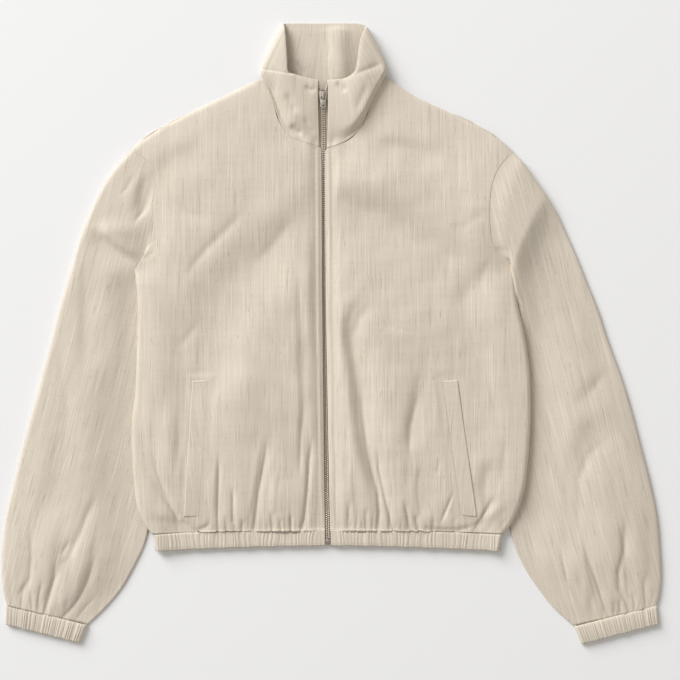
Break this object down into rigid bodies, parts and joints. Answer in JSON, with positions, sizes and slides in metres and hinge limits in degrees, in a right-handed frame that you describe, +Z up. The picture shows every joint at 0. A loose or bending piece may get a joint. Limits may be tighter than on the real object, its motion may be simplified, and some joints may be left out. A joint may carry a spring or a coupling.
{
  "type": "bomber jacket",
  "caption": "Zip-front bomber jacket laid flat, with stand collar, gathered cuffs and hem band, and two welt pockets.",
  "frame": {"origin": "on the surface the jacket lies on, under the middle of its outline", "axes": "+X across the jacket towards the wearer's left sleeve, +Y from the hem towards the collar, +Z up off the surface"},
  "size_m": [0.796, 0.7482, 0.0161],
  "materials": {
    "cloth": "matt slubbed weave",
    "zip_tape": "woven tape",
    "zip_metal": "dark nickel"
  },
  "bodies": {
    "jacket": {"back_panel": "cloth", "front_right": "cloth", "front_left": "cloth", "sleeve_right": "cloth", "sleeve_left": "cloth", "collar": "cloth", "hem_band": "cloth", "cuff_right": "cloth", "cuff_left": "cloth", "pocket_welt_right": "cloth", "pocket_welt_left": "cloth", "zip_tape_right": "zip_tape", "zip_tape_left": "zip_tape", "zip_slider": "zip_metal", "zip_box": "zip_metal"},
    "pull": {"zip_pull": "zip_metal"}
  },
  "joints": [
    {"name": "pull_hinge", "type": "hinge", "parent": "jacket", "child": "pull", "pos_m": [-0.0101, 0.2848, 0.0142], "axis": [-1, 0, 0], "range_deg": [0, 165]}
  ]
}
